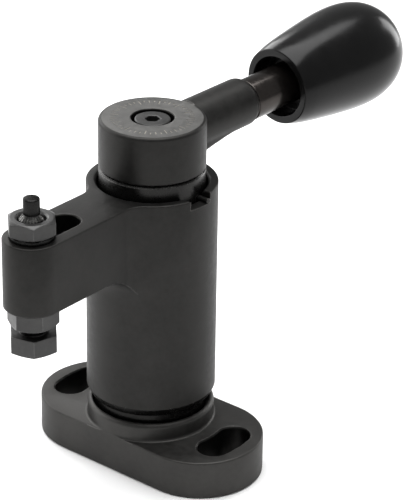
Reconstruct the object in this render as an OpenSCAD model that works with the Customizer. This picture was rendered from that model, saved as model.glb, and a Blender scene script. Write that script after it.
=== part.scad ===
// Manual swing clamp. Turning the cam lever swings the arm round to a stop and
// then draws the column, arm and contact bolt down onto the work.
// The origin is on the column axis, in the plane of the base's underside.
// The arm points along -Y and the lever along +Y, in the released position.

/* [Base] */
// Length over the round ends of the base flange, along X
base_l = 95; // [90:1:110]
// Width of the base flange, along Y
base_w = 47.5; // [46:0.5:50]
// Thickness of the base flange
base_t = 15; // [14:0.5:18]
// Height of the round boss above the flange
boss_h = 7; // [6:0.5:8]
// Diameter of the recess in the boss that the guide ring turns in
recess_d = 44.2; // [43:0.1:45]
// Radius of the line that both mounting slots follow
slot_r = 35.75; // [35:0.25:38]
// Width of the mounting slots
slot_w = 12; // [9:0.5:13]
// Angle between the two end centres of a mounting slot
slot_sweep = 19; // [12:1:24]

/* [Column and arm] */
// Diameter of the column
column_d = 48; // [47:0.5:50]
// Height of the column's lower edge, released
column_z = 25.2; // [25:0.1:27]
// Height of the column's rim and the arm's top face, released
top_z = 111; // [110:0.5:114]
// Diameter of the recess in the rim that the cam drum turns in
rim_recess_d = 40.4; // [40:0.1:42]
// Depth of that recess
rim_recess_h = 8; // [7:0.5:8]
// Distance from the column axis to the contact bolt
arm_reach = 63.5; // [62:0.5:70]
// Width of the arm
arm_w = 21; // [19:0.5:24]
// Height of the arm, from its underside to its top face
arm_h = 26.5; // [22:0.5:30]
// Radius of the hollow corners where the arm meets the column
arm_fillet = 9; // [4:0.5:12]
// Width of the slot in the arm
arm_slot_w = 11; // [10.5:0.1:11.5]
// Distance that the bolt can shift along the arm
arm_slot_travel = 16.5; // [10:0.5:18]

/* [Mechanism] */
// Distance that the lever draws the column down
stroke = 2.8; // [2:0.1:2.8]
// Turn of the lever that gives that stroke
lever_turn = 90; // [60:5:90]
// Angle that the arm swings through
arm_swing = 90; // [60:5:90]
// Diameter of the cam shaft inside the column
shaft_d = 24; // [24:0.5:25]
// Diameter of the cam shaft below the column
shaft_low_d = 20; // [19:0.5:20]

/* [Lever] */
// Diameter of the lever's hub
hub_d = 39; // [38:0.5:40]
// Height of the hub's top face
hub_top = 135; // [134:0.5:136]
// Height of the hub
hub_h = 18.2; // [17:0.1:19]
// Height of the handle's axis where it passes over the column axis
lever_z = 125.1; // [125:0.1:126]
// Diameter of the lever arm
lever_d = 18.2; // [17.5:0.1:18.4]
// Distance from the column axis to the end of the lever arm
lever_end = 48.3; // [46:0.1:54]
// Turn of the lever away from +Y, set by the serration it is clamped on
lever_rest = -4.4; // [-7:0.1:7]
// Rise of the lever arm above the horizontal
lever_tilt = 2.2; // [0:0.1:3]

/* [Handle] */
// Diameter of the bare part of the handle spindle
spindle_d = 15.8; // [14:0.1:16]
// Distance from the column axis to the mouth of the knob
knob_start = 66; // [65:0.1:70]
// Length of the knob
knob_l = 62.4; // [60:0.1:68]
// Diameter of the flat ring at the knob's mouth
knob_mouth_d = 29.4; // [28:0.1:30]
// Diameter of the counterbore in the mouth
knob_bore_d = 23.6; // [22:0.1:24]

/* [Contact bolt] */
// Diameter over the bolt's thread
bolt_d = 10; // [10:0.1:10]
// Distance across the flats of the bolt's head and its nuts
hex_af = 16; // [15:0.5:17]
// Pitch of the bolt's thread
bolt_pitch = 1.5; // [1:0.25:1.5]
// Diameter of the plain point on the bolt's upper end
point_d = 5.9; // [5:0.1:6.5]

/* [Hidden] */
$fn = 96;
eps = 0.01;

// distance by which a cutting shape passes through a face
cut = 1;
// clearances on a radius: running fit, easy fit and open gap
run = 0.05;
easy = 0.1;
gap = 0.3;

// heights of the parts inside, from the underside upwards
nut_z = 1;
nut_top = 5.5;
shaft_foot = 0.8;
washer_z = 5.6;
washer_top = 6.95;
counterbore_h = 7;
recess_floor = 12;
flange_top = recess_floor + 1.4;
clip_z = flange_top + 0.2;
clip_t = 1.4;
ring_z = recess_floor + 0.1;
ring_lip_z = 15.4;
ring_top = 17;
skirt_z = 20.3;
boss_top = base_t + boss_h;
guide_hole_top = 43.3;
lower_bush_z = 44;
lower_bush_top = 58;
shaft_step_z = 44.6;
shoulder_top = 62;
follower_z = 72;
follower_top = 80;
rim_floor = top_z - rim_recess_h;
drum_z = rim_floor + 1.2;
hub_z = hub_top - hub_h;
seam = 0.6;
drum_top = hub_z - seam;
spigot_top = hub_z + 4.8;
arm_z = top_z - arm_h;

// radii of the parts inside
counterbore_r = 14.5;
bush_r = 12.5;
flange_r = 13.8;
bore_r = 14;
upper_bore_r = 17;
stub_r = 8;
drum_r = hub_d / 2 - 0.1;
guide_r = 17.8;
guide_pin_r = 2;
guide_pin_foot = ring_z + 0.5;
guide_pin_top = 40;
stop_pin_r = 2;
stop_pin_foot = 8;
stop_pin_top = ring_z + 2.7;
stop_groove_top = ring_z + 3;
stop_angle = 45;
guide_angles = [110, 250];
follower_r = 2.4;
groove_r = 2.7;
groove_floor = 9;
groove_step = 7.5;
cross_pin_r = 1.25;
cross_pin_z = 3.2;
cross_pin_l = 23;
clip_groove_r = 9.2;
clip_r = 13.2;
clip_gap = 5;
nut_af = 24;
pilot_r = drum_r - 1.4;
screw_foot = 106;

// the notch in the rim and the stop pin lying in it
notch_w = 10.5;
notch_h = 3.6;
notch_y = -0.8;
notch_z = top_z - notch_h;
rim_pin_r = 1;
rim_pin_y = 3.4;
rim_pin_start = 18.2;
rim_pin_end = 23.6;
rim_pin_z = notch_z + 0.6;

// the cap screw in the hub
screw_head_r = 6.5;
screw_head_h = 5;
screw_hex = 5;
screw_r = 4;
screw_bore_r = 7.75;
screw_sink = 0.4;
screw_head_z = hub_top - screw_sink - screw_head_h;
screw_break = 0.4;
screw_end_break = 0.6;
screw_hex_deep = 2.8;

// the contact bolt's own heights
washer_t = 1.6;
washer_r = 8.2;
upper_nut_h = 6;
lower_nut_h = 7;
head_top = 75;
head_low = 66.9;
crown_r = 33;
cone_top = 119.7;
point_top = 125.8;
bolt_clear = 0.04;
head_turn = 14;
upper_nut_turn = 16.6;
lower_nut_turn = -26.3;

function polar(r, a) = [r * cos(a), r * sin(a)];

// ---- shapes used by more than one part ----

// a plain tube standing between two heights
module tube(r_out, r_in, z0, z1) {
    translate([0, 0, z0])
        difference() {
            cylinder(r = r_out, h = z1 - z0);
            translate([0, 0, -cut])
                cylinder(r = r_in, h = z1 - z0 + 2 * cut);
        }
}

// a solid disc or rod standing between two heights
module rod(r, z0, z1) {
    translate([0, 0, z0])
        cylinder(r = r, h = z1 - z0);
}

// a round body turned from an outline of [radius, height] points
module turned(outline) {
    rotate_extrude()
        polygon(outline);
}

// an arc-shaped slot centred on the angle "mid", cut from z0 to z1
module arc_slot(r, w, mid, sweep, z0, z1) {
    translate([0, 0, z0]) {
        rotate([0, 0, mid - sweep / 2])
            rotate_extrude(angle = sweep)
                translate([r - w / 2, 0])
                    square([w, z1 - z0]);
        for (a = [mid - sweep / 2, mid + sweep / 2])
            translate(polar(r, a))
                cylinder(r = w / 2, h = z1 - z0);
    }
}

// a hexagonal prism whose corners are taken off by a cone at one or both ends
module hex_body(af, h, break_top, break_bottom) {
    corner = af / sqrt(3);
    outer = corner + gap;
    face_r = 0.95 * af / 2;
    drop = (outer - face_r) * tan(30);
    intersection() {
        cylinder(r = corner, h = h, $fn = 6);
        turned([
            [0, 0],
            [break_bottom ? face_r : outer, 0],
            [outer, break_bottom ? drop : 0],
            [outer, h - (break_top ? drop : 0)],
            [break_top ? face_r : outer, h],
            [0, h]
        ]);
    }
}

// puts a part that is drawn along +X at the column axis onto the lever's axis
module on_lever() {
    rotate([0, 0, 90 + lever_rest])
        translate([0, 0, lever_z])
            rotate([0, -lever_tilt, 0])
                children();
}

// turns a part that is drawn along +Z so that it lies along +X
module laid_down() {
    rotate([0, 90, 0])
        children();
}

// puts a part on the contact bolt's axis
module on_bolt() {
    translate([0, -arm_reach, 0])
        children();
}

// ---- base ----

base_break = 0.6;

module flange_end() {
    r = base_w / 2;
    turned([
        [0, 0], [r - base_break, 0], [r, base_break],
        [r, base_t - base_break], [r - base_break, base_t], [0, base_t]
    ]);
}

module flange_middle() {
    w = base_w / 2;
    translate([-(base_l - base_w) / 2, 0, 0])
        rotate([90, 0, 90])
            linear_extrude(base_l - base_w)
                polygon([
                    [-w + base_break, 0], [w - base_break, 0], [w, base_break],
                    [w, base_t - base_break], [w - base_break, base_t],
                    [-w + base_break, base_t], [-w, base_t - base_break], [-w, base_break]
                ]);
}

// the boss has a rounded shoulder
module boss() {
    r = base_w / 2;
    round_r = 1.8;
    rotate_extrude() {
        difference() {
            translate([0, base_break])
                square([r, boss_top - base_break]);
            translate([r - round_r, boss_top - round_r])
                square(round_r + cut);
        }
        translate([r - round_r, boss_top - round_r])
            circle(r = round_r, $fn = 48);
    }
}

module base_flange() {
    color("#3c3b39")
        difference() {
            union() {
                for (side = [-1, 1])
                    translate([side * (base_l - base_w) / 2, 0, 0])
                        flange_end();
                flange_middle();
                boss();
            }
            rod(recess_d / 2, recess_floor, boss_top + cut);
            rod(bush_r, -cut, recess_floor + cut);
            rod(counterbore_r, -cut, counterbore_h);
            for (mid = [0, 180])
                arc_slot(slot_r, slot_w, mid, slot_sweep, -cut, base_t + cut);
            translate(polar(guide_r, stop_angle))
                rod(stop_pin_r, stop_pin_foot, recess_floor + cut);
        }
}

// flanged plain bearing that the cam shaft turns in
module base_bush() {
    color("#8a6a35")
        turned([
            [shaft_low_d / 2 + run, counterbore_h], [bush_r, counterbore_h],
            [bush_r, recess_floor], [flange_r, recess_floor],
            [flange_r, flange_top], [shaft_low_d / 2 + run, flange_top]
        ]);
}

module swing_stop_pin() {
    color("#8d8f92")
        translate(polar(guide_r, stop_angle))
            rod(stop_pin_r, stop_pin_foot, stop_pin_top);
}

module thrust_washer() {
    color("#9a9c9e")
        tube(counterbore_r - gap, stub_r + easy, washer_z, washer_top);
}

// ---- ring that swings with the column but stays down in the base ----

module guide_ring() {
    ring_bore_r = shaft_low_d / 2 + 0.8;
    groove_w = 2 * stop_pin_r + 0.5;
    end_play = 1;
    color("#55534f")
        difference() {
            tube(recess_d / 2 - run, ring_bore_r, ring_z, ring_top);
            rod(flange_r + 2 * gap, ring_z - cut, ring_lip_z);
            arc_slot(guide_r, groove_w, stop_angle - arm_swing / 2, arm_swing + 2 * end_play,
                     ring_z - cut, stop_groove_top);
            for (a = guide_angles)
                translate(polar(guide_r, a))
                    rod(guide_pin_r, ring_z - cut, ring_top + cut);
        }
}

module guide_pins() {
    color("#8d8f92")
        for (a = guide_angles)
            translate(polar(guide_r, a))
                rod(guide_pin_r, guide_pin_foot, guide_pin_top);
}

// ---- column with its arm ----

// the lower edge is bevelled, and a skirt below it reaches into the base's recess
column_break = [1.7, 3.2];
rim_break = 0.5;
recess_break = 0.8;
skirt_r = 21;

module column() {
    r = column_d / 2;
    turned([
        [0, skirt_z], [skirt_r, skirt_z], [skirt_r, column_z],
        [r - column_break[0], column_z], [r, column_z + column_break[1]],
        [r, top_z - rim_break], [r - rim_break, top_z], [0, top_z]
    ]);
}

// plan of the arm with a hollow corner each side, where it joins the column
module arm_plan() {
    half = arm_w / 2;
    cx = half + arm_fillet;
    reach = column_d / 2 + arm_fillet;
    cy = -sqrt(reach * reach - cx * cx);
    touch = column_d / 2 / reach;
    translate([-half, -arm_reach])
        square([arm_w, arm_reach]);
    translate([0, -arm_reach])
        circle(r = half);
    for (side = [-1, 1])
        difference() {
            polygon([[0, cy], [side * cx, cy], [side * cx * touch, cy * touch], [0, 0]]);
            translate([side * cx, cy])
                circle(r = arm_fillet);
        }
}

// hollow corner under the arm
module arm_underside() {
    fillet_r = 12.5;
    rise = fillet_r + 0.5;
    r = column_d / 2;
    intersection() {
        rotate_extrude()
            difference() {
                translate([r - cut, arm_z - fillet_r])
                    square([fillet_r + cut, rise]);
                translate([r + fillet_r, arm_z - fillet_r])
                    circle(r = fillet_r, $fn = 48);
            }
        translate([0, 0, arm_z - fillet_r])
            linear_extrude(rise)
                arm_plan();
    }
}

module swing_body() {
    end_play = 0.15;
    slot_out = -arm_reach - end_play;
    slot_in = -arm_reach + arm_slot_travel + end_play;
    recess_r = rim_recess_d / 2;
    color("#3a3937")
        difference() {
            union() {
                column();
                translate([0, 0, arm_z])
                    linear_extrude(arm_h)
                        arm_plan();
                arm_underside();
            }
            rod(bore_r, skirt_z - cut, lower_bush_top);
            rod(shaft_d / 2 + 2 * gap, lower_bush_top - cut, shoulder_top + cut);
            rod(upper_bore_r, shoulder_top, rim_floor + cut);
            turned([
                [0, rim_floor], [recess_r, rim_floor], [recess_r, top_z - recess_break],
                [recess_r + recess_break + cut, top_z + cut], [0, top_z + cut]
            ]);
            for (y = [slot_out, slot_in])
                translate([0, y, 0])
                    rod(arm_slot_w / 2, arm_z - cut, top_z + cut);
            translate([-arm_slot_w / 2, slot_out, arm_z - cut])
                cube([arm_slot_w, slot_in - slot_out, arm_h + 2 * cut]);
            for (a = guide_angles)
                translate(polar(guide_r, a))
                    rod(guide_pin_r + run, skirt_z - cut, guide_hole_top);
            translate([recess_r - cut, notch_y - notch_w / 2, notch_z])
                cube([column_d / 2, notch_w, notch_h + cut]);
            translate([0, rim_pin_y, rim_pin_z])
                laid_down()
                    rod(rim_pin_r, rim_pin_start - gap, rim_pin_end + gap / 2);
        }
}

module lower_bush() {
    color("#8a6a35")
        tube(bore_r, shaft_d / 2 + run, lower_bush_z, lower_bush_top);
}

module upper_bush() {
    color("#8a6a35")
        tube(upper_bore_r, shaft_d / 2 + run, follower_top, rim_floor);
}

// sleeve that carries the two pins which ride in the shaft's cam grooves
module follower_ring() {
    color("#6f6d69")
        difference() {
            tube(upper_bore_r, shaft_d / 2 + gap, shoulder_top, follower_top);
            for (a = [0, 180])
                rotate([0, 0, a])
                    translate([0, 0, follower_z])
                        laid_down()
                            rod(follower_r, groove_floor, upper_bore_r + cut);
        }
}

module follower_pins() {
    color("#8d8f92")
        for (a = [0, 180])
            rotate([0, 0, a])
                translate([0, 0, follower_z])
                    laid_down()
                        rod(follower_r, groove_floor + gap, upper_bore_r - gap);
}

module rim_stop_pin() {
    color("#77787a")
        translate([0, rim_pin_y, rim_pin_z])
            laid_down()
                rod(rim_pin_r, rim_pin_start, rim_pin_end);
}

// ---- return spring ----

spring_r = 12.1;
spring_wire = 1.9;
spring_turns = 5;
spring_sides = 8;
spring_rings = 26;

// height of the wire's middle: a closed turn at each end and open turns between
function spring_z(t) =
    let (
        low = ring_top + spring_wire / 2 + run,
        high = lower_bush_z - spring_wire / 2 - run,
        closed = spring_wire * 0.95,
        turns = t * spring_turns
    )
    turns < 1 ? low + turns * closed
    : turns > spring_turns - 1 ? high - (spring_turns - turns) * closed
    : low + closed + (high - low - 2 * closed) * (turns - 1) / (spring_turns - 2);

function spring_point(i, j) =
    let (
        count = spring_turns * spring_rings,
        turn = 360 * spring_turns * i / count,
        side = 360 * j / spring_sides,
        r = spring_r + spring_wire / 2 * cos(side)
    )
    [r * cos(turn), r * sin(turn), spring_z(i / count) + spring_wire / 2 * sin(side)];

module return_spring() {
    last = spring_turns * spring_rings;
    points = [for (i = [0:last]) for (j = [0:spring_sides - 1]) spring_point(i, j)];
    sides = [for (i = [0:last - 1]) for (j = [0:spring_sides - 1])
        let (k = (j + 1) % spring_sides, a = i * spring_sides, b = a + spring_sides)
        [a + j, b + j, b + k, a + k]];
    start = [for (j = [0:spring_sides - 1]) j];
    end = [for (j = [0:spring_sides - 1]) last * spring_sides + spring_sides - 1 - j];
    color("#9c9fa3")
        polyhedron(points = points, faces = concat([start], sides, [end]), convexity = 12);
}

// ---- cam shaft ----

teeth = 24;
serration_r = [9.6, 10.6];

// star-shaped outline of the serrated spigot, grown by "clear"
module serration(clear) {
    polygon([for (i = [0:2 * teeth - 1])
        polar(serration_r[i % 2] + clear, 180 * i / teeth)]);
}

// the path that one follower pin takes round the shaft as the column goes down
module cam_groove() {
    for (a = [0:groove_step:lever_turn])
        rotate([0, 0, a])
            translate([0, 0, follower_z - stroke * a / lever_turn])
                laid_down()
                    rod(groove_r, groove_floor, shaft_d / 2 + cut);
}

// clears the rim's stop pin through the lever's turn and the column's stroke
module drum_groove() {
    pin_angle = asin(rim_pin_y / drum_r);
    margin = 6;
    floor_r = rim_pin_start - 0.4;
    groove_top = rim_pin_z + rim_pin_r + 0.2;
    rotate([0, 0, pin_angle - margin])
        rotate_extrude(angle = lever_turn + 2 * margin)
            translate([floor_r, drum_z - cut])
                square([drum_r + cut - floor_r, groove_top - drum_z + cut]);
}

module cam_shaft() {
    low_r = shaft_low_d / 2;
    foot_break = 0.8;
    color("#2f2e2d")
        difference() {
            union() {
                turned([
                    [0, shaft_foot], [stub_r - foot_break, shaft_foot],
                    [stub_r, shaft_foot + foot_break],
                    [stub_r, counterbore_h], [low_r, counterbore_h],
                    [low_r, clip_z - eps], [clip_groove_r, clip_z - eps],
                    [clip_groove_r, clip_z + clip_t + eps], [low_r, clip_z + clip_t + eps],
                    [low_r, shaft_step_z], [shaft_d / 2, shaft_step_z],
                    [shaft_d / 2, drum_z], [drum_r, drum_z], [drum_r, drum_top - seam],
                    [drum_r - seam, drum_top], [pilot_r, drum_top],
                    [pilot_r, hub_z], [0, hub_z]
                ]);
                translate([0, 0, hub_z - eps])
                    linear_extrude(spigot_top - hub_z + eps)
                        serration(0);
            }
            for (a = [0, 180])
                rotate([0, 0, a])
                    cam_groove();
            drum_groove();
            rod(screw_r, screw_foot - 2 * cut, spigot_top + cut);
            cross_hole();
        }
}

// hole for the pin that locks the nut to the shaft
module cross_hole() {
    translate([-cross_pin_l, 0, cross_pin_z])
        laid_down()
            rod(cross_pin_r, 0, 2 * cross_pin_l);
}

module shaft_clip() {
    color("#9c9fa3")
        difference() {
            tube(clip_r, clip_groove_r + run, clip_z, clip_z + clip_t);
            translate([-clip_r - cut, -clip_gap / 2, clip_z - cut])
                cube([clip_r + cut, clip_gap, clip_t + 2 * cut]);
        }
}

module shaft_nut() {
    color("#5a5957")
        difference() {
            translate([0, 0, nut_z])
                hex_body(nut_af, nut_top - nut_z, false, true);
            rod(stub_r, 0, nut_top + cut);
            cross_hole();
        }
}

module nut_pin() {
    color("#8d8f92")
        translate([-cross_pin_l / 2, 0, cross_pin_z])
            laid_down()
                rod(cross_pin_r, 0, cross_pin_l);
}

// ---- lever ----

module hub() {
    r = hub_d / 2;
    round_r = 1.2;
    foot_break = 0.4;
    rotate_extrude() {
        polygon([
            [0, hub_z], [r - foot_break, hub_z], [r, hub_z + foot_break], [r, hub_top - round_r],
            [r - round_r, hub_top - round_r], [r - round_r, hub_top], [0, hub_top]
        ]);
        translate([r - round_r, hub_top - round_r])
            circle(r = round_r, $fn = 48);
    }
}

// the arm is a round bar with a bullnosed end, set a little above the spindle's axis,
// and drilled for the spindle's tail
bar_rise = 0.6;
socket_r = 6;
socket_l = 18;

module lever_bar() {
    r = lever_d / 2;
    nose = 3;
    root = hub_d / 2 - 3;
    translate([0, 0, bar_rise])
        laid_down()
            rotate_extrude() {
                polygon([
                    [0, root], [r, root], [r, lever_end - nose],
                    [r - nose, lever_end - nose], [r - nose, lever_end], [0, lever_end]
                ]);
                translate([r - nose, lever_end - nose])
                    circle(r = nose, $fn = 48);
            }
}

// web under the bar, deepest at the hub
module lever_web() {
    web_t = 14.4;
    web_top = 2;
    web_start = hub_d / 2 - 9.5;
    web_end = lever_end - 8;
    foot_z = hub_z - lever_z - 0.6;
    runout_z = bar_rise - lever_d / 2 + 3.2;
    rotate([90, 0, 0])
        translate([0, 0, -web_t / 2])
            linear_extrude(web_t)
                polygon([
                    [web_start, web_top], [web_start, foot_z + 0.6], [hub_d / 2, foot_z],
                    [web_end, runout_z], [web_end, web_top]
                ]);
}

module lever() {
    color("#3a3937")
        difference() {
            union() {
                hub();
                on_lever() {
                    lever_bar();
                    lever_web();
                }
            }
            // the hub is faced off, together with the root of the bar
            rod(hub_d / 2 - seam, hub_top, hub_top + cut);
            translate([0, 0, hub_z - cut])
                linear_extrude(spigot_top - hub_z + cut + easy)
                    serration(run);
            rod(screw_r + gap, hub_z, hub_top);
            rod(screw_bore_r, screw_head_z, hub_top + cut);
            on_lever()
                laid_down()
                    rod(socket_r, lever_end - socket_l, lever_end + cut);
        }
}

module cap_screw() {
    screw_top = screw_head_z + screw_head_h;
    color("#4a4947")
        difference() {
            turned([
                [0, screw_foot], [screw_r - screw_end_break, screw_foot],
                [screw_r, screw_foot + screw_end_break], [screw_r, screw_head_z],
                [screw_head_r, screw_head_z], [screw_head_r, screw_top - screw_break],
                [screw_head_r - screw_break, screw_top], [0, screw_top]
            ]);
            translate([0, 0, screw_top - screw_hex_deep])
                cylinder(r = screw_hex / sqrt(3), h = screw_hex_deep + cut, $fn = 6);
        }
}

// ---- handle ----

knob_inner = knob_start + 8;
tail_l = socket_l - 1;
bush_end = knob_start + 47;
spindle_clip_at = bush_end + 0.4;
spindle_clip_t = 1.2;
spindle_clip_r = 7.4;
spindle_clip_gap = 3;
spindle_groove_r = 4.6;
spindle_r = 5.5;
spindle_break = 0.6;
knob_bush_r = 9;
knob_bore_end = spindle_clip_at + 6;

module handle_spindle() {
    tail_z = lever_end - tail_l;
    shoulder_z = knob_inner - easy;
    groove = [spindle_clip_at - eps, spindle_clip_at + spindle_clip_t + eps];
    end_z = groove[1] + 2;
    color("#2d2a29")
        on_lever()
            laid_down()
                turned([
                    [0, tail_z], [socket_r - spindle_break, tail_z],
                    [socket_r, tail_z + spindle_break],
                    [socket_r, lever_end], [spindle_d / 2, lever_end],
                    [spindle_d / 2, shoulder_z - spindle_break],
                    [spindle_d / 2 - spindle_break, shoulder_z], [spindle_r, shoulder_z],
                    [spindle_r, groove[0]], [spindle_groove_r, groove[0]],
                    [spindle_groove_r, groove[1]], [spindle_r, groove[1]],
                    [spindle_r, end_z - spindle_break], [spindle_r - spindle_break, end_z],
                    [0, end_z]
                ]);
}

module spindle_clip() {
    color("#9c9fa3")
        on_lever()
            laid_down()
                difference() {
                    tube(spindle_clip_r, spindle_groove_r + run, spindle_clip_at,
                         spindle_clip_at + spindle_clip_t);
                    translate([0, -spindle_clip_gap / 2, spindle_clip_at - cut])
                        cube([spindle_clip_r + cut, spindle_clip_gap, spindle_clip_t + 2 * cut]);
                }
}

// half-width of the knob at a part t of its length, a blunt egg; the swell
// terms widen it early, hold it back in the middle and fill out its round end
swell = [815, -520, 2260];
function knob_r(t) =
    let (mouth_r = knob_mouth_d / 2)
    sqrt((1 - t) * (mouth_r * mouth_r + swell[0] * t + swell[1] * t * t + swell[2] * t * t * t));

knob_steps = 30;

// steps close up towards the round end
function knob_t(i) = let (u = i / knob_steps) u * (2 - u);

module knob() {
    edge = 0.6;
    side = [for (i = [1:knob_steps]) [knob_r(knob_t(i)), knob_start + knob_l * knob_t(i)]];
    outline = concat([[0, knob_start], [knob_mouth_d / 2 - edge, knob_start],
                      [knob_mouth_d / 2, knob_start + edge]], side);
    color("#141414")
        on_lever()
            laid_down()
                difference() {
                    turned(outline);
                    rod(knob_bore_d / 2, knob_start - cut, knob_inner);
                    rod(knob_bush_r, knob_inner - cut, knob_bore_end);
                }
}

module knob_bush() {
    color("#8a6a35")
        on_lever()
            laid_down()
                tube(knob_bush_r, spindle_r + run, knob_inner, bush_end);
}

// ---- contact bolt set ----

module slot_washer() {
    color("#4a4a4c")
        on_bolt()
            tube(washer_r, bolt_d / 2 + gap, top_z, top_z + washer_t);
}

// a nut with a countersunk thread at each open face
module nut_with_thread(z0, h, top_face, bottom_face) {
    bore = bolt_d / 2 + bolt_clear;
    sink = 0.7;
    color("#56575b")
        translate([0, 0, z0])
            difference() {
                hex_body(hex_af, h, top_face, bottom_face);
                turned([
                    [0, -cut], [bore + sink + cut, -cut], [bore, sink],
                    [bore, h - sink], [bore + sink + cut, h + cut], [0, h + cut]
                ]);
            }
}

// the two nuts stop at different turns on the thread
module upper_nut() {
    on_bolt()
        rotate([0, 0, upper_nut_turn])
            nut_with_thread(top_z + washer_t, upper_nut_h, true, true);
}

module lower_nut() {
    on_bolt()
        rotate([0, 0, lower_nut_turn])
            nut_with_thread(arm_z - lower_nut_h, lower_nut_h, false, true);
}

// hexagon head with a crowned contact face below, thread, and a plain point above
module contact_bolt() {
    cone = bolt_d / 2 - point_d / 2;
    point_break = 0.5;
    color("#505155")
        on_bolt() {
            intersection() {
                rotate([0, 0, head_turn])
                    translate([0, 0, head_low - cut])
                        cylinder(r = hex_af / sqrt(3), h = head_top - head_low + cut, $fn = 6);
                translate([0, 0, head_low + crown_r])
                    sphere(r = crown_r);
            }
            turned([
                [0, head_top - cut], [bolt_d / 2, head_top - cut], [bolt_d / 2, cone_top - cone],
                [point_d / 2, cone_top], [point_d / 2, point_top - point_break],
                [point_d / 2 - point_break, point_top], [0, point_top]
            ]);
        }
}

base_flange();
base_bush();
swing_stop_pin();
thrust_washer();
guide_ring();
guide_pins();
swing_body();
lower_bush();
upper_bush();
follower_ring();
follower_pins();
return_spring();
rim_stop_pin();
cam_shaft();
shaft_clip();
shaft_nut();
nut_pin();
lever();
cap_screw();
handle_spindle();
spindle_clip();
knob();
knob_bush();
slot_washer();
upper_nut();
lower_nut();
contact_bolt();
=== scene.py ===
from math import atan2, ceil, cos, pi, radians, sin, sqrt, tan

import bmesh
import bpy
from mathutils import Matrix, Vector


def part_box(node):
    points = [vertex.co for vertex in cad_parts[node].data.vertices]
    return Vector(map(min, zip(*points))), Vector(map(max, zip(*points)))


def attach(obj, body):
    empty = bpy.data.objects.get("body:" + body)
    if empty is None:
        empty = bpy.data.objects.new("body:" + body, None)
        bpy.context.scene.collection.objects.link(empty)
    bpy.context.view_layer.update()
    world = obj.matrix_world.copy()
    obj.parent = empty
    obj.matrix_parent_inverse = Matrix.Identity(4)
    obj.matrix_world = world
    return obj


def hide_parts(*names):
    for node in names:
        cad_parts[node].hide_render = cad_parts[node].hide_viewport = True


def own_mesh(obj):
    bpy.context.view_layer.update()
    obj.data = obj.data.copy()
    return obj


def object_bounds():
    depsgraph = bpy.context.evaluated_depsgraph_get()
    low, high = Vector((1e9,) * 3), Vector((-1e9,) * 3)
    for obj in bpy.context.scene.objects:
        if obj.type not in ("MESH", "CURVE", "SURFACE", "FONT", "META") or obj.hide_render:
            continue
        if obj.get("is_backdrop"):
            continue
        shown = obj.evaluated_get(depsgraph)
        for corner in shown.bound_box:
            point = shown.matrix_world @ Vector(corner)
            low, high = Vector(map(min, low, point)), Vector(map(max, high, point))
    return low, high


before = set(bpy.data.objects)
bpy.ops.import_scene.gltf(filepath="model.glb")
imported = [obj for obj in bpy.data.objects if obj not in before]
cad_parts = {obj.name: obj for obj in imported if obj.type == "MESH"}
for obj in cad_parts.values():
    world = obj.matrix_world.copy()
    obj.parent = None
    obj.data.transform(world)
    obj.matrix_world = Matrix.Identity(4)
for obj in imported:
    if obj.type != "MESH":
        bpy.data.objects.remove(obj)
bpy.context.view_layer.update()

scene = bpy.context.scene
mm = 0.001

# ---- Base flange ----
# Milled and turned from one steel bar: a plate with round ends and a boss, with two
# curved slots so that the base can be turned a little before its bolts are pulled
# tight. Every edge is broken, then the part is blackened in hot oxide salts and oiled.


def solid(name, rings, loop=False):
    """A closed mesh from rings of points in millimetres; a loop joins the last ring to the first."""
    count = len(rings[0])
    pairs = len(rings) if loop else len(rings) - 1
    faces = []
    for i in range(pairs):
        a, b = i * count, (i + 1) % len(rings) * count
        for j in range(count):
            k = (j + 1) % count
            faces.append((a + j, a + k, b + k, b + j))
    if not loop:
        faces.append(tuple(reversed(range(count))))
        faces.append(tuple(range((len(rings) - 1) * count, len(rings) * count)))
    mesh = bpy.data.meshes.new(name)
    mesh.from_pydata([Vector(p) * mm for ring in rings for p in ring], [], faces)
    shape = bmesh.new()
    shape.from_mesh(mesh)
    bmesh.ops.recalc_face_normals(shape, faces=shape.faces)
    shape.to_mesh(mesh)
    shape.free()
    piece = bpy.data.objects.new(name, mesh)
    scene.collection.objects.link(piece)
    return piece


def arc(start, end, steps):
    """Angles in degrees from start to end, given in radians."""
    return [radians(start + (end - start) * k / steps) for k in range(steps + 1)]


def eased(corners):
    """An outline whose corners are rounded; a corner is (x, y) or (x, y, radius)."""
    made = []
    for i, corner in enumerate(corners):
        here = Vector(corner[:2])
        if len(corner) == 2:
            made.append(tuple(here))
            continue
        radius = corner[2]
        before = (Vector(corners[i - 1][:2]) - here).normalized()
        after = (Vector(corners[i + 1][:2]) - here).normalized()
        half = before.angle(after) / 2
        centre = here + (before + after).normalized() * radius / sin(half)
        first = here + before * radius / tan(half) - centre
        last = here + after * radius / tan(half) - centre
        start = atan2(first.y, first.x)
        turn = (atan2(last.y, last.x) - start + pi) % (2 * pi) - pi
        steps = max(3, ceil(abs(turn) / radians(11)))
        for k in range(steps + 1):
            a = start + turn * k / steps
            made.append(tuple(centre + Vector((cos(a), sin(a))) * radius))
    return made


def turned(name, outline, steps=160, loop=False):
    """A body turned on a lathe from an outline of (radius, height) points."""
    angles = [2 * pi * k / steps for k in range(steps)]
    rings = [[(r * cos(a), r * sin(a), z) for a in angles] for r, z in outline if r > 0]
    return solid(name, rings, loop)


def stacked(name, plan, levels):
    """A body with one plan all the way up; each level is (height, growth of the plan)."""
    return solid(name, [[(x, y, z) for x, y in plan(grow)] for z, grow in levels])


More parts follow.
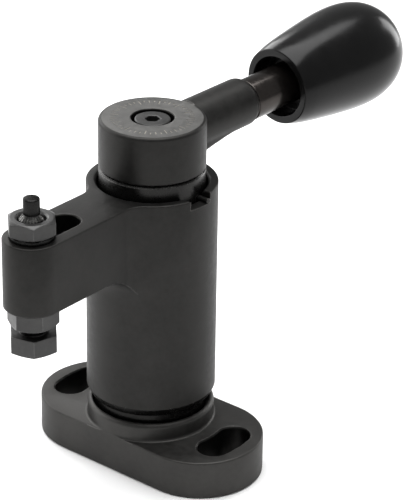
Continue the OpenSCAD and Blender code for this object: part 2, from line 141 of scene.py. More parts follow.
def fitted(piece, other, how):
    """Joins, cuts or trims a piece with another shape, which is then thrown away."""
    tool = piece.modifiers.new("fit", "BOOLEAN")
    tool.operation = how
    tool.solver = "EXACT"
    tool.object = other
    if other.data.materials:
        tool.material_mode = "TRANSFER"
        if not piece.data.materials:
            piece.data.materials.append(None)
    bpy.context.view_layer.update()
    made = bpy.data.meshes.new_from_object(piece.evaluated_get(bpy.context.evaluated_depsgraph_get()))
    piece.modifiers.clear()
    piece.data = made
    bpy.data.objects.remove(other)
    return piece


def broken_edge(top, width, steps=4):
    """Levels that round a top edge over by a width."""
    return [(top - width * (1 - sin(a)), -width * (1 - cos(a))) for a in arc(0, 90, steps)]


def finished(piece, finish, body, slot, *nodes, sharp=30):
    """Shades a piece, gives it its finish and fixes it to the body it moves with."""
    mesh = piece.data
    mesh.shade_smooth()
    mesh.set_sharp_from_angle(angle=radians(sharp))
    if not mesh.materials:
        mesh.materials.append(finish)
    for i, own in enumerate(mesh.materials):
        mesh.materials[i] = own or finish
    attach(piece, body)
    if nodes:
        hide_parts(*nodes)
    return piece


def nodes_of(finish):
    """Short ways to add a node to a finish and to wire two nodes together."""
    tree = finish.node_tree

    def add(kind, **values):
        made = tree.nodes.new("ShaderNode" + kind)
        for name, value in values.items():
            if name in made.inputs:
                made.inputs[name].default_value = value
            else:
                setattr(made, name, value)
        return made

    return add, tree.links.new


def metal(name, dark, light, rough, shine=0.85, grain=1.0, wear_and_highlight=0.5, wear_and_highlight_tint=(0.2, 0.195, 0.19),
          rim=1.0):
    """Steel under a finish: cloudy in tone, finely grained, and paler along its edges, from rubbed wear and,
    where a finish sets it high, from a painted highlight.
    """
    finish = bpy.data.materials.new(name)
    finish.use_nodes = True
    finish.node_tree.nodes.clear()
    add, wire = nodes_of(finish)
    skin = add("BsdfPrincipled", **{"Metallic": shine, "IOR": 1.6, "Specular Tint": (rim, rim, rim, 1)})
    out = add("OutputMaterial")
    wire(skin.outputs[0], out.inputs[0])
    place = add("TexCoord")
    cloud = add("TexNoise", Scale=70.0, Detail=5.0, Roughness=0.6)
    fine = add("TexNoise", Scale=2600.0, Detail=3.0, Roughness=0.7)
    mottle = add("TexNoise", Scale=420.0, Detail=4.0, Roughness=0.65)
    for texture in (cloud, fine, mottle):
        wire(place.outputs["Object"], texture.inputs["Vector"])
    tone = add("MixRGB", blend_type="MIX", Color1=(*dark, 1), Color2=(*light, 1))
    share = add("MapRange", **{"From Min": 0.36, "From Max": 0.64})
    summed = add("Math", operation="ADD")
    wire(cloud.outputs[0], summed.inputs[0])
    wire(mottle.outputs[0], summed.inputs[1])
    halve = add("Math", operation="MULTIPLY")
    halve.inputs[1].default_value = 0.5
    wire(summed.outputs[0], halve.inputs[0])
    wire(halve.outputs[0], share.inputs[0])
    wire(share.outputs[0], tone.inputs["Fac"])
    # Paler edges: rubbed wear on most finishes, and also a painted highlight along the edges where a finish
    # sets the amount high.
    round_off = add("Bevel", samples=6, Radius=0.0006)
    face = add("NewGeometry")
    facing = add("VectorMath", operation="DOT_PRODUCT")
    wire(round_off.outputs[0], facing.inputs[0])
    wire(face.outputs["Normal"], facing.inputs[1])
    edge = add("MapRange", **{"From Min": 0.985, "From Max": 0.86, "To Min": 0.0, "To Max": wear_and_highlight})
    wire(facing.outputs["Value"], edge.inputs[0])
    patchy = add("MapRange", **{"From Min": 0.35, "From Max": 0.6, "To Min": 0.35, "To Max": 1.0})
    wire(mottle.outputs[0], patchy.inputs[0])
    rub_and_highlight = add("Math", operation="MULTIPLY")
    wire(edge.outputs[0], rub_and_highlight.inputs[0])
    wire(patchy.outputs[0], rub_and_highlight.inputs[1])
    worn_and_highlight = add("MixRGB", blend_type="MIX", Color2=(*wear_and_highlight_tint, 1))
    wire(tone.outputs[0], worn_and_highlight.inputs["Color1"])
    wire(rub_and_highlight.outputs[0], worn_and_highlight.inputs["Fac"])
    wire(worn_and_highlight.outputs[0], skin.inputs["Base Color"])
    rough_map = add("MapRange", **{
        "From Min": 0.3, "From Max": 0.7, "To Min": rough - 0.05, "To Max": rough + 0.06
    })
    wire(mottle.outputs[0], rough_map.inputs[0])
    wire(rough_map.outputs[0], skin.inputs["Roughness"])
    bump = add("Bump", Strength=0.22 * grain, Distance=0.00006)
    wire(fine.outputs[0], bump.inputs["Height"])
    wire(round_off.outputs[0], bump.inputs["Normal"])
    wire(bump.outputs[0], skin.inputs["Normal"])
    return finish


base_oxide = metal("base_oxide", (0.036, 0.0352, 0.0338), (0.050, 0.0487, 0.0465), 0.46, wear_and_highlight=0.55, rim=0.75)
# Painted shade: a near-black colour for the walls of bores, recesses and slots, standing in for the shade
# inside them. Its strong edge wear also paints a faint highlight along their edges.
bore_painted_shade = metal("painted_shade_in_bores", (0.012, 0.0117, 0.0112), (0.019, 0.0186, 0.0178), 0.34, wear_and_highlight=0.9,
                   wear_and_highlight_tint=(0.075, 0.073, 0.07), rim=0.4)
faced_oxide = metal("faced_oxide", (0.066, 0.0653, 0.063), (0.122, 0.1205, 0.116), 0.50, grain=2.2, wear_and_highlight=0.4)


def coated(piece, finish):
    """Gives the faces that a shape leaves behind their own finish."""
    piece.data.materials.append(finish)
    return piece


# Faces round a large and a small turned shape, the depth of a facing cut, the step that
# keeps two joined skins apart, and how far a cutter runs past the work.
around, around_small = 192, 96
skim, hair, past = 0.004, 0.01, 1.0


def faced(piece, radius, top):
    """Takes a bare skim off a round top face, which leaves it paler than the rest."""
    cutter = turned("facing", [
        (0, top - skim), (radius, top - skim), (radius, top + 2 * past), (0, top + 2 * past)
    ], around)
    return fitted(piece, coated(cutter, faced_oxide), "DIFFERENCE")


def cut_out(top, width):
    """Levels where a cut comes out of a top face, whose edge is broken."""
    return [(top - width, 0), (top + past, width + past)]


def cut_through(low, high, width):
    """Levels of a cut from face to face, with both edges broken."""
    return [(low - past, width + past), (low + width, 0)] + cut_out(high, width)


base_l, base_w, base_t, foot_break, top_break = 95.0, 47.5, 15.0, 0.6, 0.7
boss_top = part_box("base_flange")[1].z / mm
boss_r, boss_foot, boss_root_r, boss_fillet, boss_break = base_w / 2 - hair, 8, 26, 1.1, 1.9
recess_r, recess_floor = 22.1, 12.0
slot_path, slot_half, slot_reach, slot_break = 35.75, 6.0, 9.5, 0.5
bush_seat, nut_seat, nut_seat_h, nut_seat_break = 12.5, 14.5, 7.0, 0.4


def flange_plan(grow):
    r, reach = base_w / 2 + grow, (base_l - base_w) / 2
    ends = [(reach, -90, 90), (-reach, 90, 270)]
    return [(x + r * cos(a), r * sin(a)) for x, start, end in ends for a in arc(start, end, 72)]


def slot_plan(middle):
    """Plan of a curved slot, centred on an angle and following a circle about the column."""

    def plan(grow):
        w = slot_half + grow
        start, end = middle - slot_reach, middle + slot_reach
        first = Vector((cos(radians(start)), sin(radians(start)))) * slot_path
        last = Vector((cos(radians(end)), sin(radians(end)))) * slot_path
        outer = [((slot_path + w) * cos(a), (slot_path + w) * sin(a)) for a in arc(start, end, 16)]
        inner = [((slot_path - w) * cos(a), (slot_path - w) * sin(a)) for a in arc(end, start, 16)]
        far = [(last.x + w * cos(a), last.y + w * sin(a)) for a in arc(end, end + 180, 24)]
        near = [(first.x + w * cos(a), first.y + w * sin(a)) for a in arc(start + 180, start + 360, 24)]
        return outer + far[1:-1] + inner + near[1:-1]

    return plan


edges = [(0, -foot_break), (foot_break, 0)] + broken_edge(base_t, top_break)
flange = stacked("flange", flange_plan, edges)
boss = turned("boss", eased([
    (0, boss_foot), (boss_root_r, boss_foot), (boss_root_r, base_t - 2 * hair),
    (boss_r, base_t - 2 * hair, boss_fillet), (boss_r, boss_top, boss_break), (0, boss_top)
]), around)
fitted(boss, stacked("trim", flange_plan, [(-past, -skim), (boss_top + 4 * past, -skim)]), "INTERSECT")
fitted(flange, boss, "UNION")
# The boss's faced top is paler partly as turned steel and partly as a painted highlight for the light its top
# catches.
faced(flange, boss_r - 1.0, boss_top)
# Painted shade: the walls of the bore and of the recess round the column take the near-black bore colour.
fitted(flange, coated(turned("bore", [
    (0, -past), (nut_seat + nut_seat_break + past, -past), (nut_seat, nut_seat_break), (nut_seat, nut_seat_h),
    (bush_seat, nut_seat_h), (bush_seat, recess_floor), (recess_r, recess_floor), (recess_r, boss_top + past),
    (0, boss_top + past)
], around), bore_painted_shade), "DIFFERENCE")
# Painted shade: the slot walls take the near-black bore colour.
for middle in (0, 180):
    slot = stacked("slot", slot_plan(middle), cut_through(0, base_t, slot_break))
    fitted(flange, coated(slot, bore_painted_shade), "DIFFERENCE")
finished(flange, base_oxide, "base", "black_oxide_steel", "base_flange")

# ---- Column and clamping arm ----
# One steel forging, turned on the column and milled on the arm, with a slot for the
# contact bolt. A skirt under the column reaches into the base, the rim is notched for
# a stop pin, and the whole piece is blackened.

top_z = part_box("swing_body")[1].z / mm
skirt_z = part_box("swing_body")[0].z / mm
column_r, column_foot, post_break, post_short = 24.0, 25.2, 0.3, 4.0
foot_r, foot_ease, bevel_z, bevel_ease = 22.3, 0.25, 28.4, 0.6
skirt_r, skirt_break = 21.0, 0.4
arm_half, arm_reach, arm_hollow, arm_h, arm_break, arm_ease = 10.5, 63.5, 9.0, 26.5, 0.4, 0.5
arm_z = top_z - arm_h
under_arm, web_in, web_out, web_deep, web_lap = 12.5, 20.0, 38.0, 16.0, 1.5
lower_bore, lower_break, shelf_bore, upper_bore, shelf_low, shelf_high = 14.0, 0.2, 12.6, 17.0, 58.0, 62.0
rim_bore, rim_depth, rim_break, rim_ease, rim_deep = 20.2, 8.0, 0.8, 0.3, 1.5
bolt_slot_half, bolt_slot_ends = 5.5, [(-46.85, 0, 180), (-63.65, 180, 360)]
notch_in, notch_out, notch_front, notch_back, notch_deep = 19.0, 30.0, -6.05, 4.45, 3.6


def arm_plan(grow, with_column=True):
    """Plan of the arm and its two hollow corners, closed by the column or by its middle."""
    half, r, hollow = arm_half + grow, column_r + grow, arm_hollow - grow
    cx = half + hollow
    cy = -sqrt((r + hollow) ** 2 - cx ** 2)
    lean = atan2(-cy, cx) * 180 / pi
    left = [(-cx + hollow * cos(a), cy + hollow * sin(a)) for a in arc(lean, 0, 14)]
    tip = [(half * cos(a), -arm_reach + half * sin(a)) for a in arc(180, 360, 40)]
    right = [(cx + hollow * cos(a), cy + hollow * sin(a)) for a in arc(180, 180 - lean, 14)]
    round_column = [(r * cos(a), r * sin(a)) for a in arc(-lean, 180 + lean, 132)][1:-1]
    return left + tip + right + (round_column if with_column else [(0, 0)])


def bolt_slot_plan(grow):
    w = bolt_slot_half + grow
    return [(w * cos(a), y + w * sin(a)) for y, start, end in bolt_slot_ends for a in arc(start, end, 28)]


def notch_plan(grow):
    x0, x1, y0, y1 = notch_in - grow, notch_out + grow, notch_front - grow, notch_back + grow
    return [(x0, y0), (x1, y0), (x1, y1), (x0, y1)]


black_oxide = metal("black_oxide", (0.018, 0.0176, 0.0168), (0.027, 0.0263, 0.0252), 0.45, rim=0.75)
# Painted shade and painted highlight: the skirt and the bevel above it are painted near black for the shade
# in the gap over the boss, and a bright line is painted along their edges.
skirt_shade_and_highlight = metal("skirt_painted_shade_and_highlight", (0.012, 0.0117, 0.0113), (0.019, 0.0186, 0.0179), 0.24, wear_and_highlight=1.0,
                    wear_and_highlight_tint=(0.34, 0.32, 0.30), rim=0.4)
edges = [(arm_z, -arm_break), (arm_z + arm_break, 0)] + broken_edge(top_z, arm_ease)
swing = stacked("swing_column", arm_plan, edges)
fitted(swing, turned("post", [
    (0, bevel_z), (column_r - 2 * hair, bevel_z), (column_r - hair / 2, bevel_z + post_break),
    (column_r - hair / 2, top_z - post_short), (0, top_z - post_short)
], around), "UNION")
# The skirt and the foot bevel carry the painted shade and the painted highlight line.
fitted(swing, coated(turned("skirt", eased([
    (0, skirt_z), (skirt_r, skirt_z, skirt_break), (skirt_r, column_foot), (foot_r, column_foot, foot_ease),
    (column_r - hair, bevel_z - 5 * hair, bevel_ease), (column_r - hair, bevel_z + 10 * hair),
    (0, bevel_z + 10 * hair)
]), around), skirt_shade_and_highlight), "UNION")
web = turned("web", eased([
    (web_in, arm_z - web_deep), (column_r - hair, arm_z - web_deep),
    (column_r - hair, arm_z + 5 * hair, under_arm), (web_out, arm_z + 5 * hair), (web_out, arm_z + web_lap),
    (web_in, arm_z + web_lap)
]), around, loop=True)
fitted(web, stacked("trim", lambda grow: arm_plan(grow, False), [
    (arm_z - web_deep - 4 * past, -skim), (arm_z + 2 * web_lap, -skim)
]), "INTERSECT")
fitted(swing, web, "UNION")
# Painted shade: the column's bores and the rim's bore take the near-black bore colour.
fitted(swing, coated(turned("bore", [
    (0, skirt_z - past), (lower_bore + lower_break + past, skirt_z - past),
    (lower_bore, skirt_z + lower_break), (lower_bore, shelf_low), (shelf_bore, shelf_low),
    (shelf_bore, shelf_high), (upper_bore, shelf_high), (upper_bore, top_z - rim_depth),
    (rim_bore, top_z - rim_depth), (rim_bore, top_z - past), (0, top_z - past)
], around), bore_painted_shade), "DIFFERENCE")
fitted(swing, turned("rim_break", eased([
    (0, top_z - rim_deep), (rim_bore, top_z - rim_deep), (rim_bore, top_z - rim_break, rim_ease),
    (rim_bore + rim_break, top_z, rim_ease), (rim_bore + rim_break + past, top_z + 0.4 * past),
    (0, top_z + past)
]), around), "DIFFERENCE")
# Painted shade: the walls of the bolt slot take the near-black bore colour.
arm_slot = stacked("slot", bolt_slot_plan, cut_through(arm_z, top_z, arm_break))
fitted(swing, coated(arm_slot, bore_painted_shade), "DIFFERENCE")
notch = stacked("notch", notch_plan, [(top_z - notch_deep, 0)] + cut_out(top_z, arm_break))
fitted(swing, notch, "DIFFERENCE")
finished(swing, black_oxide, "column", "black_oxide_steel", "swing_body")

# ---- Lever ----
# A steel casting: a round hub that is clamped on the cam's serrated spigot, and a round
# bar on a web that deepens towards the hub. The top of the hub carries a scale of fine
# engraved lines, filled pale, round the sunk seat of the cap screw.

hub_r, hub_z, hub_top, hub_foot_break, hub_top_break = 19.5, 116.8, 135.0, 0.5, 1.3
lever_z, lever_rest, lever_tilt = 125.1, -4.4, 2.2
bar_r, bar_start, bar_end, bar_rise, bar_nose = 9.1, 16.5, 48.3, 0.6, 3.0
web_half, web_drop, web_level, web_slope, web_widest = 7.2, 9.5, 20.0, 0.178, 14.0
web_end, web_fade, web_corner, web_join, web_below = 4.0, 6.0, 1.6, 0.5, -0.3
section_gap, section_count, nose_sections = 1.2, 23, 8
lever_axis = (
    Matrix.Rotation(radians(90 + lever_rest), 4, "Z")
    @ Matrix.Translation((0, 0, lever_z * mm))
    @ Matrix.Rotation(radians(-lever_tilt), 4, "Y")
)


def laid_on_lever(piece):
    """Moves a shape that was drawn along +X on to the lever's own axis."""
    piece.data.transform(lever_axis)
    return piece


def soft_largest(a, b, blend):
    return (a + b + sqrt((a - b) ** 2 + blend ** 2)) / 2


def soft_smallest(a, b, blend):
    return (a + b - sqrt((a - b) ** 2 + blend ** 2)) / 2


def bar_section(s):
    """Outline across the bar at a distance out: a circle with the web square-cornered below it."""
    depth = web_drop - max(0.0, s - web_level) * web_slope
    radius = bar_r
    if s > bar_end - bar_nose:
        radius -= bar_nose - sqrt(max(0.0, bar_nose ** 2 - (s - bar_end + bar_nose) ** 2))
    made = []
    for a in arc(0, 360, 96)[:-1]:
        across, down = abs(cos(a)) + 1e-6, max(-sin(a), 1e-6)
        square = min(soft_smallest(web_half / across, depth / down, web_corner), web_widest)
        keep = max(0.0, min(1.0, (bar_end - web_end - s) / web_fade))
        out = radius
        if sin(a) < web_below:
            out += (soft_largest(radius, square, web_join) - radius) * keep
        made.append((s, out * cos(a), bar_rise + out * sin(a)))
    return made


stations = [bar_start + k * section_gap for k in range(section_count)]
stations += [bar_end - bar_nose + bar_nose * sin(a) * 0.999 for a in arc(0, 90, nose_sections)]
lever = turned("lever_arm", eased([
    (0, hub_z), (hub_r, hub_z, hub_foot_break), (hub_r, hub_top, hub_top_break), (0, hub_top)
]), around)
fitted(lever, laid_on_lever(solid("bar", [bar_section(s) for s in stations])), "UNION")
faced(lever, hub_r - 0.6, hub_top)

line_fill = bpy.data.materials.new("scale_line_fill")
line_fill.use_nodes = True
add, wire = nodes_of(line_fill)
skin = line_fill.node_tree.nodes["Principled BSDF"]
speckle = add("TexNoise", Scale=3000.0, Detail=3.0)
paint = add("MixRGB", Color1=(0.15, 0.14, 0.12, 1), Color2=(0.30, 0.28, 0.24, 1))
wire(speckle.outputs[0], paint.inputs["Fac"])
wire(paint.outputs[0], skin.inputs["Base Color"])
skin.inputs["Roughness"].default_value = 0.7

scale_lines, scale_in, scale_out, line_half, line_deep = 48, 12.2, 15.2, 0.15, 0.1
line_starts = [scale_in, scale_in + 1.6, scale_in + 1.0, scale_in + 1.6]
marks = []
for i in range(scale_lines):
    a = 2 * pi * i / scale_lines
    start = line_starts[i % len(line_starts)]
    out, side = Vector((cos(a), sin(a), 0)), Vector((-sin(a), cos(a), 0)) * line_half
    low, high = Vector((0, 0, hub_top - line_deep)), Vector((0, 0, hub_top + past))
    ring = [out * start - side, out * scale_out - side, out * scale_out + side, out * start + side]
    marks.append(solid("mark", [[p + low for p in ring], [p + high for p in ring]]))
with bpy.context.temp_override(active_object=marks[0], selected_editable_objects=marks):
    bpy.ops.object.join()
fitted(lever, coated(marks[0], line_fill), "DIFFERENCE")
screw_seat_r, seat_break, screw_sink, screw_head_h = 7.75, 0.25, 0.4, 5.0
seat_z = hub_top - screw_sink - screw_head_h
# Painted shade: the cap screw's sunk seat takes the near-black bore colour.
fitted(lever, coated(turned("seat", [
    (0, seat_z), (screw_seat_r, seat_z), (screw_seat_r, hub_top - seat_break),
    (screw_seat_r + seat_break + past, hub_top + past), (0, hub_top + past)
], around_small), bore_painted_shade), "DIFFERENCE")
finished(lever, black_oxide, "lever_set", "black_oxide_steel", "lever")

# ---- Cap screw in the hub ----
# A low-head socket screw, cold headed and blackened, with a ground rim. It pulls the
# hub down on to the serrated spigot.

fastener = metal("fastener_black", (0.036, 0.0358, 0.0354), (0.054, 0.0537, 0.053), 0.40, wear_and_highlight=0.7,
                 wear_and_highlight_tint=(0.17, 0.17, 0.17))
screw_head_r, screw_head_ease, screw_low, shank_r, shank_lead = 6.5, 0.45, 106.0, 4.0, 0.6
socket_af, socket_deep, socket_break, socket_turn = 5.0, 2.8, 0.25, 39
screw_top = seat_z + screw_head_h
screw = turned("hub_screw", eased([
    (0, screw_low), (shank_r - shank_lead, screw_low), (shank_r, screw_low + shank_lead), (shank_r, seat_z),
    (screw_head_r, seat_z), (screw_head_r, screw_top, screw_head_ease), (0, screw_top)
]), around_small)


def hexagon(across_flats, turn=0.0):
    """Plan of a hexagon of a width across its flats."""
    def plan(grow):
        r = (across_flats / 2 + grow) / cos(radians(30))
        return [(r * cos(radians(turn + 60 * k)), r * sin(radians(turn + 60 * k))) for k in range(6)]
    return plan


socket_levels = [(screw_top - socket_deep, 0)] + cut_out(screw_top, socket_break)
fitted(screw, stacked("socket", hexagon(socket_af, socket_turn), socket_levels), "DIFFERENCE")
finished(screw, fastener, "lever_set", "fastener_steel", "cap_screw")

# ---- Handle spindle ----
# A polished steel rod pressed into the lever's end. The knob turns on its thinner part
# and a ring holds it on.

polished = metal("polished_dark", (0.030, 0.0265, 0.0245), (0.044, 0.039, 0.036), 0.20, shine=0.9,
                 grain=0.3, wear_and_highlight=0.3, rim=0.8)
knob_mouth, knob_seat, knob_long = 66.0, 74.0, 62.4
press_r, press_start, press_ease = 6.0, bar_end - 17, 0.6
neck_r, neck_start, neck_end = 7.3, bar_end - 0.8, bar_end + 0.3
spindle_r, spindle_start, spindle_end = 7.9, bar_end + 0.6, knob_seat - 0.1
pin_r, clip_at = 5.5, knob_mouth + 47.4
groove_r, groove_end, pin_end = 4.6, clip_at + 1.2, clip_at + 3.2


def turned_on_lever(name, outline, steps=96, loop=False):
    """A turned body whose own axis is the lever's; its heights run out from the column."""
    piece = turned(name, outline, steps, loop)
    piece.data.transform(Matrix.Rotation(pi / 2, 4, "Y"))
    return laid_on_lever(piece)


spindle = turned_on_lever("spindle", eased([
    (0, press_start), (press_r, press_start, press_ease), (press_r, neck_start), (neck_r, neck_start),
    (neck_r, neck_end), (spindle_r, spindle_start, 0.2), (spindle_r, spindle_end, 0.5), (pin_r, spindle_end),
    (pin_r, clip_at), (groove_r, clip_at), (groove_r, groove_end), (pin_r, groove_end), (pin_r, pin_end, 0.6),
    (0, pin_end)
]))
finished(spindle, polished, "lever_set", "polished_steel", "handle_spindle")

# ---- Knob ----
# A blunt egg moulded in black thermoset and buffed to a gloss, with a flat ring and a
# counterbore at its mouth. It turns freely on a bush.

thermoset = bpy.data.materials.new("glossy_thermoset")
thermoset.use_nodes = True
add, wire = nodes_of(thermoset)
skin = thermoset.node_tree.nodes["Principled BSDF"]
place = add("TexCoord")
haze = add("TexNoise", Scale=160.0, Detail=5.0, Roughness=0.6)
pores = add("TexNoise", Scale=1500.0, Detail=2.0)
wire(place.outputs["Object"], haze.inputs["Vector"])
wire(place.outputs["Object"], pores.inputs["Vector"])
tint = add("MixRGB", Color1=(0.0028, 0.0028, 0.0028, 1), Color2=(0.0046, 0.0046, 0.0047, 1))
wire(haze.outputs[0], tint.inputs["Fac"])
wire(tint.outputs[0], skin.inputs["Base Color"])
dull = add("MapRange", **{"From Min": 0.3, "From Max": 0.7, "To Min": 0.17, "To Max": 0.25})
wire(haze.outputs[0], dull.inputs[0])
wire(dull.outputs[0], skin.inputs["Roughness"])
dimple = add("Bump", Strength=0.04, Distance=0.00005)
wire(pores.outputs[0], dimple.inputs["Height"])
wire(dimple.outputs[0], skin.inputs["Normal"])
skin.inputs["IOR"].default_value = 1.5
skin.inputs["Specular IOR Level"].default_value = 0.16

mouth_r, mouth_bore, mouth_ease, bush_r, bush_end = 14.7, 11.8, 0.55, 9.0, clip_at + 6
knob_steps, tip_r = 64, 0.4
swell = (815.0, -520.0, 2260.0)


def knob_half(t):
    """Radius of the knob at a part t of its length."""
    return sqrt((1 - t) * (mouth_r ** 2 + swell[0] * t + swell[1] * t * t + swell[2] * t ** 3))


side = [(knob_half(t), knob_mouth + knob_long * t) for t in
        [(k / knob_steps) * (2 - k / knob_steps) for k in range(2, knob_steps)]]
mouth = eased([
    (0, bush_end), (bush_r, bush_end), (bush_r, knob_seat), (mouth_bore, knob_seat, 0.4),
    (mouth_bore, knob_mouth, 0.35), (mouth_r - 0.1, knob_mouth, mouth_ease), side[0]
])
knob = turned_on_lever("grip_knob", mouth + side[1:] + [(tip_r, knob_mouth + knob_long - skim)], 144)
finished(knob, thermoset, "knob", "black_thermoset", "knob", sharp=40)

# ---- Contact bolt ----
# A hexagon bolt hung head down in the arm's slot. Its thread is rolled, its upper end is
# turned to a cone and a plain point, and its head is crowned where it meets the work.

thread_oxide = metal("thread_black", (0.010, 0.0099, 0.0097), (0.018, 0.0178, 0.0174), 0.26, wear_and_highlight=0.5,
                     wear_and_highlight_tint=(0.10, 0.10, 0.10), rim=0.5)
machined = metal("machined_cone", (0.16, 0.158, 0.15), (0.30, 0.297, 0.285), 0.22, wear_and_highlight=0.3,
                 wear_and_highlight_tint=(0.4, 0.4, 0.4))
bolt_y, bolt_r, pitch, thread_deep, crest_flat = -arm_reach, 5.0, 1.5, 0.92, 0.12
head_low, head_top, head_break, head_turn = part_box("contact_bolt")[0].z / mm, 75.0, 0.15, 14
crown_r, crown_start, crown_end = 33.0, 0.5, 40
point_r, point_top, point_ease, cone_top = 2.95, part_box("contact_bolt")[1].z / mm, 0.6, 119.7
cone_low, cone_clear_r = cone_top - 2.1, 9.0
hex_af, rings_a_pitch = 16.0, 12


def threaded_ring(z, steps=72):
    """One ring of a rolled right-hand thread, faded out on the cone and the point."""
    if z < cone_top:
        limit = min(bolt_r, point_r + cone_top - z)
    else:
        rise = max(0.0, z - point_top + point_ease)
        limit = point_r - point_ease + sqrt(max(0.0, point_ease ** 2 - rise ** 2))
    made = []
    for k in range(steps):
        phase = (z / pitch - k / steps) % 1.0
        flank = min(1.0, max(0.0, (abs(phase - 0.5) * 2 - crest_flat) / (1 - 2 * crest_flat)))
        r = min(limit, bolt_r - thread_deep * (1 - flank))
        made.append((r * cos(2 * pi * k / steps), r * sin(2 * pi * k / steps), z))
    return made


thread_low, ease_low = head_top - past, point_top - point_ease
ring_count = int((cone_top - thread_low) / pitch * rings_a_pitch)
heights = [thread_low + k * pitch / rings_a_pitch for k in range(ring_count)]
heights += [cone_top, ease_low] + [ease_low + point_ease * sin(a) for a in arc(15, 90, 5)]
bolt = coated(solid("hung_bolt", [threaded_ring(z) for z in heights]), thread_oxide)
head = stacked("head", hexagon(hex_af, head_turn), [
    (head_low - past, 0), (head_top - head_break, 0), (head_top, -head_break)
])
crown = turned("crown", [
    (crown_r * sin(a), head_low + crown_r * (1 - cos(a))) for a in arc(crown_start, crown_end, 40)
], around_small)
fitted(head, crown, "INTERSECT")
fitted(bolt, coated(turned("cone", [
    (cone_clear_r, cone_low), (cone_clear_r, cone_top + 10 * hair), (point_r, cone_top + 10 * hair),
    (point_r, cone_top), (bolt_r - 2 * hair, cone_top + point_r - bolt_r + 2 * hair),
    (bolt_r + hair, cone_low)
], around_small, loop=True), machined), "DIFFERENCE")
fitted(head, bolt, "UNION")
head.name = "contact_bolt_body"
head.data.transform(Matrix.Translation((0, bolt_y * mm, 0)))
finished(head, fastener, "contact_bolt", "fastener_steel", "contact_bolt", sharp=35)

# ---- Nuts on the contact bolt ----
# Two cold-formed hexagon nuts lock the bolt in the arm, one above and one below. Their
# corners are taken off by a cone and their bores are countersunk.


nut_bore, nut_sink = bolt_r + 0.04, 0.7
nut_corner_r, nut_face_r = hex_af / 2 / cos(radians(30)) + 0.3, hex_af / 2 * 0.95
nut_drop = (nut_corner_r - nut_face_r) * tan(radians(30))


def hex_nut(name, node, body, turn, chamfer_top):
    """A nut with its lower corners chamfered, and its upper ones too if wanted."""
    low, high = (corner.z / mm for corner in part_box(node))
    nut = stacked(name, hexagon(hex_af, turn), [(low, 0), (high, 0)])
    lift = skim / 4
    barrel = [(nut_face_r, low - lift), (nut_corner_r, low + nut_drop)]
    if chamfer_top:
        barrel += [(nut_corner_r, high - nut_drop), (nut_face_r, high + lift)]
    else:
        barrel += [(nut_corner_r, high), (nut_corner_r, high + lift)]
    fitted(nut, turned("barrel", barrel, around_small), "INTERSECT")
    mouth_r = nut_bore + nut_sink + past
    fitted(nut, turned("bore", [
        (mouth_r, low - past), (nut_bore, low + nut_sink), (nut_bore, high - nut_sink), (mouth_r, high + past)
    ], around_small), "DIFFERENCE")
    nut.data.transform(Matrix.Translation((0, bolt_y * mm, 0)))
    finished(nut, fastener, body, "fastener_steel", node)


hex_nut("nut_above_arm", "upper_nut", "upper_nut", 16.6, True)
hex_nut("nut_below_arm", "lower_nut", "lower_nut", -26.3, False)

# ---- Washer under the upper nut ----
# Punched from steel strip, which leaves one edge rounder than the other, and blackened.
# It lies loose on the bolt, bridges the slot and spreads the upper nut's load.

washer_low, washer_high = (corner.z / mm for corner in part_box("slot_washer"))
washer_bore, washer_r, burr_edge, punched_edge = 5.3, 8.2, 0.15, 0.3
washer = turned("bridging_washer", eased([
    (washer_bore, washer_low), (washer_r, washer_low, burr_edge), (washer_r, washer_high, punched_edge),
    (washer_bore, washer_high)
]), around_small, loop=True)
washer.data.transform(Matrix.Translation((0, bolt_y * mm, 0)))
finished(washer, thread_oxide, "slot_set", "fastener_steel", "slot_washer")

# ---- Cam shaft ----
# Turned from alloy steel, hardened and ground, with two helical grooves. Its drum shows
# between the column's rim and the hub.

hardened = metal("hardened_black", (0.012, 0.0117, 0.0112), (0.020, 0.0195, 0.0188), 0.28, wear_and_highlight=0.7,
                 wear_and_highlight_tint=(0.24, 0.235, 0.23))


def dressed(finish, *nodes):
    """Gives parts whose shape is already right their finish."""
    for node in nodes:
        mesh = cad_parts[node].data
        mesh.materials.clear()
        mesh.materials.append(finish)


dressed(hardened, "cam_shaft")

# ---- Bushes ----
# Plain bearings pressed from bronze powder and soaked in oil, one in the base and two in
# the column. The one in the knob is painted near black as painted shade deep in its mouth.

bronze = metal("sintered_bronze", (0.25, 0.145, 0.055), (0.36, 0.22, 0.09), 0.42, shine=1.0, grain=2.0,
               wear_and_highlight=0.3, wear_and_highlight_tint=(0.6, 0.4, 0.2))
dressed(bronze, "base_bush", "lower_bush", "upper_bush")
# Painted shade: the knob's bush takes the near-black bore colour for the shade inside the knob's mouth.
dressed(bore_painted_shade, "knob_bush")

# ---- Guide ring and follower ring ----
# Turned steel rings: one, hardened and blackened, keys the column to the base; the other,
# of plain oiled steel, carries the two pins that ride in the cam's grooves.

oiled = metal("oiled_steel", (0.11, 0.108, 0.104), (0.16, 0.156, 0.15), 0.34, wear_and_highlight=0.5,
              wear_and_highlight_tint=(0.4, 0.39, 0.38))
dressed(oiled, "follower_ring", "shaft_nut")
dressed(hardened, "guide_ring")

# ---- Pins and the thrust washer ----
# Hardened dowel pins and a washer, ground and left bright. The stop pin that shows in the
# column's rim is pressed into it and blackened with it.

ground = metal("ground_bright", (0.38, 0.38, 0.39), (0.5, 0.5, 0.51), 0.22, shine=1.0, grain=0.5, wear_and_highlight=0.3,
               wear_and_highlight_tint=(0.7, 0.7, 0.72))
dressed(ground, "guide_pins", "swing_stop_pin", "follower_pins", "nut_pin", "thrust_washer")
dressed(black_oxide, "rim_stop_pin")

# ---- Return spring and retaining rings ----
# Drawn spring wire wound round the shaft, with a closed turn at each end, and two rings
# stamped from spring strip.

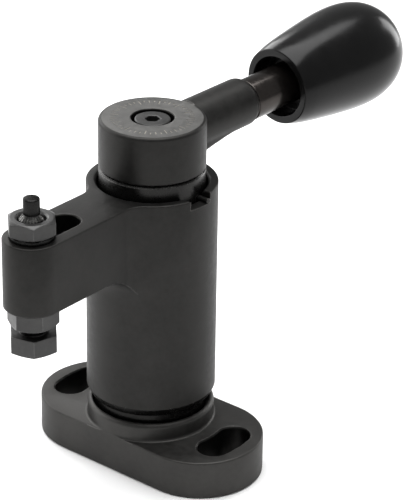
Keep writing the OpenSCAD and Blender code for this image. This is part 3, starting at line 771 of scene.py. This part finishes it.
spring_steel = metal("spring_steel", (0.26, 0.265, 0.27), (0.36, 0.365, 0.37), 0.28, shine=1.0, grain=0.6,
                     wear_and_highlight=0.3, wear_and_highlight_tint=(0.6, 0.6, 0.62))
dressed(spring_steel, "shaft_clip", "spindle_clip")
spring_low, spring_high = (corner.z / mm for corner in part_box("return_spring"))
coil_r, wire_r, turns, wire_sides, rings_a_turn = 12.1, 0.95, 5, 14, 40


def wire_height(t):
    """Height of the wire's middle after a part t of its turns."""
    low, high, closed = spring_low + wire_r, spring_high - wire_r, 2 * wire_r * 0.95
    n = t * turns
    if n < 1:
        return low + n * closed
    if n > turns - 1:
        return high - (turns - n) * closed
    return low + closed + (high - low - 2 * closed) * (n - 1) / (turns - 2)


coil = []
for i in range(turns * rings_a_turn + 1):
    a, z = 2 * pi * i / rings_a_turn, wire_height(i / (turns * rings_a_turn))
    ring = []
    for k in range(wire_sides):
        b = 2 * pi * k / wire_sides
        r = coil_r + wire_r * cos(b)
        ring.append((r * cos(a), r * sin(a), z + wire_r * sin(b)))
    coil.append(ring)
spring = solid("coil_spring", coil)
finished(spring, spring_steel, "carriage", "spring_steel", "return_spring", sharp=50)
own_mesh(spring)

# ---- Table, light and camera ----
# The clamp stands on a plain pale table under a broad soft ceiling light, with a lit
# screen behind it and a strip of light on each side.

half, table_t = 3000, 20
corners = [(-half, -half), (half, -half), (half, half), (-half, half)]
pale = bpy.data.materials.new("pale_table")
pale.use_nodes = True
skin = pale.node_tree.nodes["Principled BSDF"]
skin.inputs["Base Color"].default_value = (0.93, 0.93, 0.93, 1)
skin.inputs["Roughness"].default_value = 0.9
skin.inputs["Specular IOR Level"].default_value = 0.1
floor = coated(solid("table", [[(x, y, z) for x, y in corners] for z in (-table_t, 0)]), pale)
floor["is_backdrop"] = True

world = bpy.data.worlds.new("studio")
world.use_nodes = True
sky = world.node_tree.nodes["Background"]
sky.inputs["Color"].default_value = (1, 1, 1, 1)
sky.inputs["Strength"].default_value = 0.40
scene.world = world


def soft_light(name, place, aim, width, height, watts):
    """A rectangular studio light, in metres, turned to face a point."""
    light = bpy.data.lights.new(name, "AREA")
    light.shape = "RECTANGLE"
    light.size, light.size_y, light.energy = width, height, watts
    lamp = bpy.data.objects.new(name, light)
    scene.collection.objects.link(lamp)
    lamp.location = place
    lamp.rotation_euler = (Vector(aim) - Vector(place)).to_track_quat("-Z", "Y").to_euler()


azimuth, elevation, roll = radians(38.99), radians(26.28), radians(0.91)
back = Vector((sin(azimuth) * cos(elevation), -cos(azimuth) * cos(elevation), sin(elevation)))
right = Vector((cos(azimuth), sin(azimuth), 0))
up = back.cross(right)
middle = Vector((0, 0, 0.07))
behind = Vector((-sin(azimuth), cos(azimuth), 0))
soft_light("ceiling", middle + Vector((0, 0, 1.25)) + behind * 0.15, middle, 1.2, 1.2, 27)
soft_light("backdrop", middle + behind * 1.0 - right * 0.75 + Vector((0, 0, 0.5)), middle, 1.3, 0.6, 11)
soft_light("left_strip", middle - right * 1.0 + behind * 0.1 + up * 0.2, middle, 0.35, 1.2, 5)
soft_light("right_strip", middle + right * 0.85 + behind * 0.75 + up * 0.1, middle, 0.35, 1.0, 7)

camera = bpy.data.cameras.new("camera")
camera.lens, camera.sensor_width = 180.17, 36.0
camera.clip_start, camera.clip_end = 0.01, 20.0
eye = bpy.data.objects.new("camera", camera)
scene.collection.objects.link(eye)
aim, distance = right * 0.01837 + Vector((0, 0, 0.08257)), 0.91394
tilted_right = right * cos(roll) + up * sin(roll)
tilted_up = up * cos(roll) - right * sin(roll)
turn = Matrix((tilted_right, tilted_up, back)).transposed().to_4x4()
eye.matrix_world = Matrix.Translation(aim + back * distance) @ turn
scene.camera = eye
scene.view_settings.view_transform = "Standard"

low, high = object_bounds()
